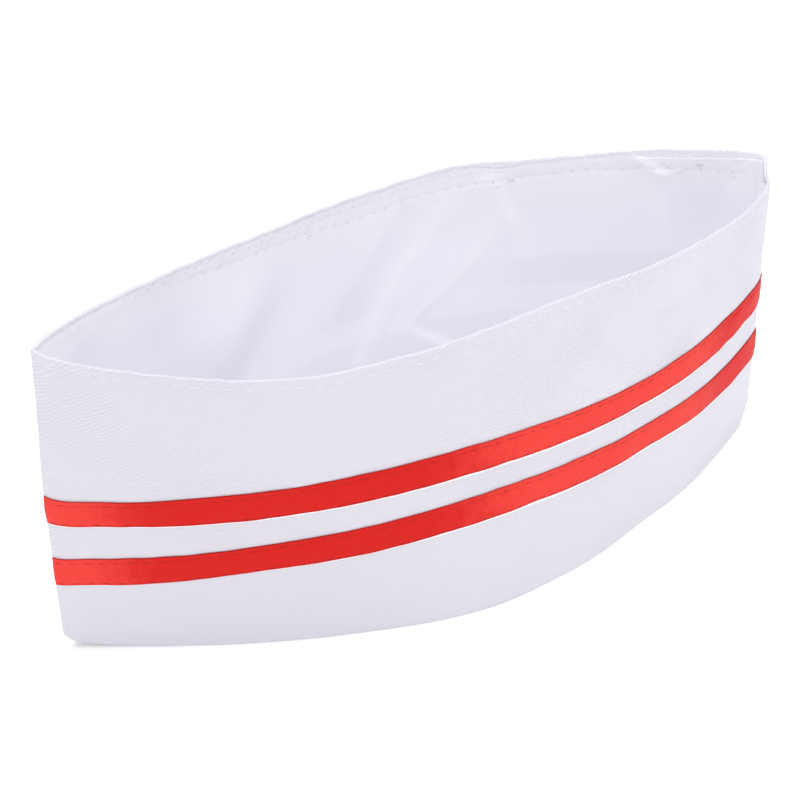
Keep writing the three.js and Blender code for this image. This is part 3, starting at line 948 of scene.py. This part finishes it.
def twill_material():
    material, shader, w = plain_material("white_twill", (0.84, 0.83, 0.9), 0.85)
    shader.inputs["Sheen Weight"].default_value = 0.08
    shader.inputs["Specular IOR Level"].default_value = 0.25
    cloth = in_millimetres(w)
    coarse = use(w, TWILL_WEAVE, Cloth=cloth)
    fine = use(w, TWILL_WEAVE, Cloth=w.stretched(cloth, (1, 1, 1), math.radians(-9)), Pitch=0.85)
    along = w.times(named(w, "along"), 1000.0)
    far_in = w.mapped(along, 16.0, 46.0)
    weave = {}
    for key in ("Height", "Groove"):
        change = w.times(w.minus(fine[key], coarse[key]), far_in)
        weave[key] = w.plus(coarse[key], change)
    turn = w.times(named(w, "along"), 1000.0 / HEM_PITCH)
    turn = w.plus(turn, w.times(w.noise(cloth, 0.09, 1), 1.6))
    drop = w.times(named(w, "drop"), 1000.0)
    seam = use(w, SEAM_PULL, Turn=turn, Across=w.minus(drop, HEM_STITCHES), Reach=0.55, Hole=0.13)
    patch = w.mapped(w.noise(cloth, 0.03, 2), 0.3, 0.7, 0.35, 1.0)
    clear = w.plus(w.mapped(along, 75.0, 45.0, 0.55, 1.35), w.mapped(along, 98.0, 130.0, 0.0, 0.9))
    clear = w.plus(clear, w.mapped(along, 140.0, 190.0, 0.0, 0.75))
    patch = w.times(patch, w.times(clear, w.mapped(drop, 50.0, 80.0, 1.0, 0.5)))
    groove = w.times(weave["Groove"], patch)
    light = w.blend(w.times(patch, 0.5), tint(0.722, 0.713, 0.783), tint(0.791, 0.782, 0.85))
    # Painted shade in the weave's grooves.
    color = w.blend(w.times(groove, 0.42), light, tint(0.58, 0.57, 0.65))
    # Painted light, lighter and bluer past 140 mm along.
    color = w.blend(w.mapped(along, 140.0, 190.0, 0.0, 0.09), color, tint(0.96, 0.98, 1.0))
    color = w.blend(w.mapped(w.noise(cloth, 0.012, 3), 0.4, 0.62, 0.0, 0.06), color, tint(0.6, 0.59, 0.66))
    # Painted shade in the stitch holes.
    color = w.blend(w.times(seam["Pit"], 0.3), color, tint(0.6, 0.59, 0.67))
    # Painted highlight, with a faint glow, on a thin line of the cloth just under each ribbon's lower edge.
    highlight_below_ribbon = named(w, "highlight_below_ribbon")
    painted_highlight = w.times(w.mapped(highlight_below_ribbon, 1.0, 0.55), w.mapped(highlight_below_ribbon, -0.3, 0.0))
    color = w.blend(painted_highlight, color, tint(1.0, 1.0, 1.0))
    shader.inputs["Emission Strength"].default_value = 0.1
    w.put(shader.inputs["Emission Color"], w.blend(painted_highlight, tint(0, 0, 0), tint(1, 1, 1)))
    # Painted light on the hem's inner face.
    color = w.blend(w.times(named(w, "inside"), 0.9), color, tint(0.95, 0.95, 1.0))
    color = w.blend(w.times(w.mapped(drop, 0.7, 0.2), 0.25), color, tint(0.6, 0.59, 0.66))
    w.put(shader.inputs["Base Color"], color)
    pull = raised(w, seam["Pit"], 0.5, -0.2)
    w.put(shader.inputs["Normal"], raised(w, w.times(weave["Height"], patch), 0.6, 0.09, pull))
    return material


def lawn_material():
    material, shader, w = plain_material("white_lawn", (0.93, 0.92, 0.96), 0.8)
    shader.inputs["Sheen Weight"].default_value = 0.1
    shader.inputs["Specular IOR Level"].default_value = 0.25
    cloth = in_millimetres(w)
    weave = use(w, PLAIN_WEAVE, Cloth=cloth)
    hem = named(w, "hem")
    doubled = w.mapped(w.plus(hem, w.times(w.noise(cloth, 0.12, 2), 1.5)), 7.6, 6.4)
    color = w.blend(w.times(weave["Slub"], 0.12), tint(0.928, 0.925, 0.975), tint(0.795, 0.785, 0.865))
    color = w.blend(w.times(doubled, 0.15), color, tint(0.93, 0.95, 1.0))
    color = w.blend(w.times(named(w, "pink"), 0.09), color, tint(0.67, 0.45, 0.58))
    # Painted highlight where the shade value is above 0, painted shade where it is below.
    shade = named(w, "shade")
    color = w.blend(w.times(shade, 0.75, clamp=True), color, tint(0.98, 0.975, 1.0))
    color = w.blend(w.times(shade, -0.24, clamp=True), color, tint(0.55, 0.55, 0.66))
    # Painted shadow along the thin cloth's sewn edge, where it meets the side.
    color = w.blend(w.mapped(named(w, "edge"), 0.6, 0.0, 0.0, 0.8), color, tint(0.58, 0.57, 0.65))
    turn = w.plus(named(w, "stitch"), w.times(w.noise(cloth, 0.15, 1), 0.9))
    seam = use(w, SEAM_PULL, Turn=turn, Across=named(w, "seam"), Reach=0.68, Hole=0.12)
    # Painted shade in the stitch holes, at random depths.
    deep = w.mapped(w.noise(cloth, 0.23, 1), 0.35, 0.6, 0.16, 0.42)
    color = w.blend(w.times(seam["Pit"], deep), color, tint(0.5, 0.5, 0.62))
    color = w.blend(w.mapped(hem, 84.0, 100.0, 0.0, 0.9), color, tint(0.8, 0.79, 0.85))
    w.put(shader.inputs["Base Color"], color)
    crease = w.mapped(w.noise(w.stretched(cloth, (0.32, 0.2, 1)), 1.0, 3, 0.55), 0.25, 0.75)
    gathers = w.times(crease, w.mapped(hem, 10.0, 5.0))
    pull = raised(w, seam["Pit"], 0.5, -0.25, raised(w, gathers, 0.25, 0.4))
    w.put(shader.inputs["Normal"], raised(w, weave["Height"], 0.3, 0.06, pull))
    return material


def satin_material():
    material, shader, w = plain_material("red_satin", (0.9, 0.02, 0.015), 0.45)
    shader.inputs["Specular IOR Level"].default_value = 0.06
    cloth = in_millimetres(w)
    x, y = w.split(cloth)[:2]
    # Painted sheen and shade along the ribbon: darker from about 40 to 100 mm along and past 210 mm, lighter
    # between; random blotches on top.
    sheen_shade = w.times(w.mapped(x, 4.0, 38.0), w.mapped(x, 158.0, 104.0))
    sheen_shade = w.plus(sheen_shade, w.mapped(x, 208.0, 256.0))
    blotch = w.noise(w.stretched(cloth, (0.22, 0.14, 1)), 1.0, 4, 0.65)
    sheen_shade_and_blotch = w.plus(sheen_shade, w.times(w.minus(blotch, 0.5), 0.9))
    color = w.blend(w.mapped(sheen_shade_and_blotch, 0.0, 1.0, 0.0, 0.85), tint(0.92, 0.068, 0.053), tint(0.675, 0.0115, 0.009))
    grain = w.mapped(w.noise(w.stretched(cloth, (1.3, 2.2, 1)), 1.0, 3, 0.7), 0.35, 0.65, 0.0, 0.3)
    color = w.blend(grain, color, tint(0.5, 0.006, 0.006))
    # Painted shade, darker at the ribbon's right end.
    color = w.blend(w.mapped(x, 228.0, 258.0), color, tint(0.7, 0.001, 0.001))
    for row in RIBBON_STITCHES:
        turn = w.plus(w.maths("DIVIDE", x, RIBBON_PITCH), row)
        # Painted shade in the stitch holes, and darker along each row.
        seam = use(w, SEAM_PULL, Turn=turn, Across=w.minus(y, row), Reach=0.4, Hole=0.12)
        color = w.blend(w.times(seam["Pit"], 0.5), color, tint(0.3, 0.002, 0.004))
        color = w.blend(w.times(seam["Line"], 0.12), color, tint(0.3, 0.004, 0.006))
    half = RIBBON_WIDTH / 2
    edge = w.mapped(w.maths("ABSOLUTE", w.minus(y, half)), half - 0.4, half)
    color = w.blend(w.times(edge, 0.5), color, tint(0.3, 0.004, 0.01))
    w.put(shader.inputs["Base Color"], color)
    threads = w.noise(w.stretched(cloth, (1.6, 0.25, 1)), 1.0, 2)
    crumple = w.noise(w.stretched(cloth, (0.35, 0.2, 1)), 1.0, 2)
    w.put(shader.inputs["Normal"], raised(w, threads, 0.25, 0.05, raised(w, crumple, 0.3, 0.12)))
    return material


def thread_material(name, color):
    material, shader, w = plain_material(name, color, 0.6)
    node = w.tree.nodes.new("ShaderNodeTexCoord")
    twist = w.noise(w.stretched(node.outputs["Object"], (9000, 9000, 9000)), 1.0, 1)
    dark = tuple(c * 0.75 for c in color)
    w.put(shader.inputs["Base Color"], w.blend(twist, tint(*dark), tint(*color)))
    w.put(shader.inputs["Normal"], raised(w, twist, 0.4, 0.05))
    return material


white_twill, white_lawn, red_satin = twill_material(), lawn_material(), satin_material()
white_thread = thread_material("white_thread", (0.97, 0.96, 0.98))
red_thread = thread_material("red_thread", (0.42, 0.006, 0.008))
for piece in panels.values():
    piece.data.materials.append(white_twill)
for piece in ribbons.values():
    piece.data.materials.append(red_satin)
crown.data.materials.append(white_lawn)


# Stitches
STITCH_COLUMNS = 400
HEM_STITCH, RIBBON_STITCH, INSIDE_STITCH = (3.6, 0.34), (2.8, 0.2), (3.4, 0.26)  # length, thickness


def stitch_row(name, path, pitch, stitch, material):
    """Stitches one after another along a line of points."""
    length, thick = stitch
    run = float(np.linalg.norm(np.diff(path, axis=0), axis=1).sum())
    bpy.ops.object.select_all(action="DESELECT")
    bpy.ops.mesh.primitive_uv_sphere_add(
        segments=8, ring_count=6, radius=1, location=(pitch / 2 * MM, 0, 0), rotation=(0, math.pi / 2, 0),
        scale=(thick / 2 * MM, thick / 2 * MM, length / 2 * MM))
    row = bpy.context.active_object
    row.name = name
    bpy.ops.object.transform_apply(location=True, rotation=True, scale=True)
    line = bpy.data.curves.new(name + "_line", "CURVE")
    line.dimensions = "3D"
    add_line(line, path)
    guide = add_object(name + "_line", line)
    many = row.modifiers.new("many", "ARRAY")
    many.use_relative_offset, many.use_constant_offset = False, True
    many.constant_offset_displace = (pitch * MM, 0, 0)
    many.count = int(run / pitch)
    follow = row.modifiers.new("follow", "CURVE")
    follow.object = guide
    only(row)
    bpy.ops.object.modifier_apply(modifier=many.name)
    bpy.ops.object.modifier_apply(modifier=follow.name)
    bpy.ops.object.shade_smooth()
    bpy.data.objects.remove(guide)
    row.data.materials.append(material)
    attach(row, "root")


def seam_path(side, points):
    """The line of a row of stitches through the thin cloth, as far as the row's points go."""
    path, _, _ = level_line(
        side, lambda t: rim_cut(side, t) + from_rows(RIM["half"] * t, points),
        lambda x, d: sewn_depth(side, x, d) + 0.1, 4.0, STITCH_COLUMNS)
    return path[(path[:, 0] > points[0][0]) & (path[:, 0] < points[-1][0])]


for side in ("near", "far"):
    path, _, _ = level_line(
        side, lambda t: HEM_STITCHES + rim_cut(side, t), lambda x, d: side_relief(side, x, d) + 0.05,
        SEAM_GAP, STITCH_COLUMNS)
    stitch_row(f"thread_hem_{side}", path, HEM_PITCH, HEM_STITCH, white_thread)
for name, side, *drops in RIBBONS:
    for number, across in enumerate(RIBBON_STITCHES):
        path, _, _ = level_line(
            side, lambda t: ribbon_drop(name, *drops, t) + across * ribbon_wide(name, t),
            lambda x, d: ribbon_depth(side, x, d, across) - 0.09, RIBBON_ENDS[side], RIBBON_COLUMNS)
        stitch_row(f"thread_{name}_{number}", path, RIBBON_PITCH, RIBBON_STITCH, red_thread)
for number, row in enumerate(SEAM_ROWS[1:]):
    stitch_row(f"thread_inside_{number}", seam_path(*row), HEM_PITCH, INSIDE_STITCH, white_thread)

CURL_POINTS = 12
CURL_CLEAR = 0.4  # between the thin cloth's middle and a curl's
LOOSE_THREADS = [  # x, drop and size of each little curl of thread on the far side's seam
    (21.5, 7.8, 2.2), (33.9, 9.0, 1.6), (52.7, 7.0, 1.8), (57.5, 5.6, 1.5), (103.1, 4.6, 1.7),
    (107.9, 7.6, 2.2), (112.8, 4.8, 1.5), (119.2, 7.4, 1.8), (-14.0, 6.4, 1.5), (-48.0, 5.0, 1.3),
]


def curl_depth(x, drop):
    return CROWN_DEPTH + CURL_CLEAR + side_relief("far", x, drop) + crown_lift("far", x, drop)


def loose_threads():
    """Little curls of thread on the crown's cloth, as one piece."""
    pick = np.random.RandomState(17)
    curls = bpy.data.curves.new("thread_curls", "CURVE")
    curls.dimensions, curls.bevel_depth, curls.bevel_resolution = "3D", 0.1 * MM, 1
    for x, drop, size in LOOSE_THREADS:
        turn = np.linspace(0, (1.1 + pick.rand()) * math.pi, CURL_POINTS) + 6 * pick.rand()
        reach = size * (0.35 + 0.65 * np.linspace(0, 1, CURL_POINTS)) * (0.8 + 0.2 * np.sin(3 * turn))
        points = []
        for right, down in zip(reach * np.cos(turn), 0.45 * reach * np.sin(turn)):
            line, _, _ = level_line("far", lambda t: drop + down, curl_depth, 0.0, 900)
            points.append(line[np.argmin(np.abs(line[:, 0] - x - right))])
        add_line(curls, np.array(points))
    only(add_object("thread_curls", curls))
    bpy.ops.object.convert(target="MESH")
    piece = bpy.context.active_object
    piece.data.materials.append(white_thread)
    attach(piece, "root")


loose_threads()

# Floor, light and camera
bpy.ops.object.select_all(action="DESELECT")
bpy.ops.mesh.primitive_plane_add(size=6, location=(0, 0, 0))
floor = bpy.context.active_object
floor.name = "floor"
floor_white, shader, wires = plain_material("floor_white", (0.93, 0.93, 0.93), 0.9)
shader.inputs["Emission Color"].default_value = (1, 1, 1, 1)
shader.inputs["Emission Strength"].default_value = 0.2
floor.data.materials.append(floor_white)

SKY = 0.58
world = bpy.data.worlds.new("studio")
bpy.context.scene.world = world
world.use_nodes = True
world.node_tree.nodes["Background"].inputs["Color"].default_value = (1, 1, 1, 1)
world.node_tree.nodes["Background"].inputs["Strength"].default_value = SKY


def softbox(name, place, aim, size, power):
    lamp = bpy.data.lights.new(name, "AREA")
    lamp.shape, lamp.size, lamp.energy = "SQUARE", size, power
    source = add_object(name, lamp)
    source.location = place
    source.rotation_mode = "QUATERNION"
    source.rotation_quaternion = (Vector(aim) - Vector(place)).to_track_quat("-Z", "Y")


LIGHTS = [  # name, place in metres, size, power
    ("overhead", (0.0, 0.1, 1.6), 1.6, 19.0),
    ("right", (1.3, -0.9, 0.8), 0.9, 4.9),
    ("left", (-1.4, -0.7, 1.0), 0.9, 3.8),
]
for name, place, size, power in LIGHTS:
    softbox(name, place, (0, 0, 0.05), size, power)

VIEW_FROM = {"azimuth": -29.434, "elevation": 31.41, "distance": 942.1, "roll": -0.701}
VIEW_TARGET = (-20.676, -23.206, 68.136)
LENS = 144.34  # on a 36 mm wide sensor


def photo_camera():
    """Stands where the photo was taken from: azimuth 0 looks along +Y."""
    az, el, roll = (math.radians(VIEW_FROM[k]) for k in ("azimuth", "elevation", "roll"))
    back = Vector((math.sin(az) * math.cos(el), -math.cos(az) * math.cos(el), math.sin(el)))
    right = Vector((math.cos(az), math.sin(az), 0))
    up = back.cross(right)
    right, up = right * math.cos(roll) + up * math.sin(roll), up * math.cos(roll) - right * math.sin(roll)
    data = bpy.data.cameras.new("camera")
    data.sensor_width, data.lens = 36, LENS
    data.clip_start, data.clip_end = 0.05, 20
    camera = add_object("camera", data)
    target = Vector(to_frame(np.array(VIEW_TARGET)).tolist())
    turn = Matrix((right, up, back)).transposed().to_4x4()
    camera.matrix_world = Matrix.Translation(target + back * (VIEW_FROM["distance"] * MM)) @ turn
    return camera


bpy.context.scene.camera = photo_camera()
bpy.context.scene.view_settings.view_transform = "Standard"
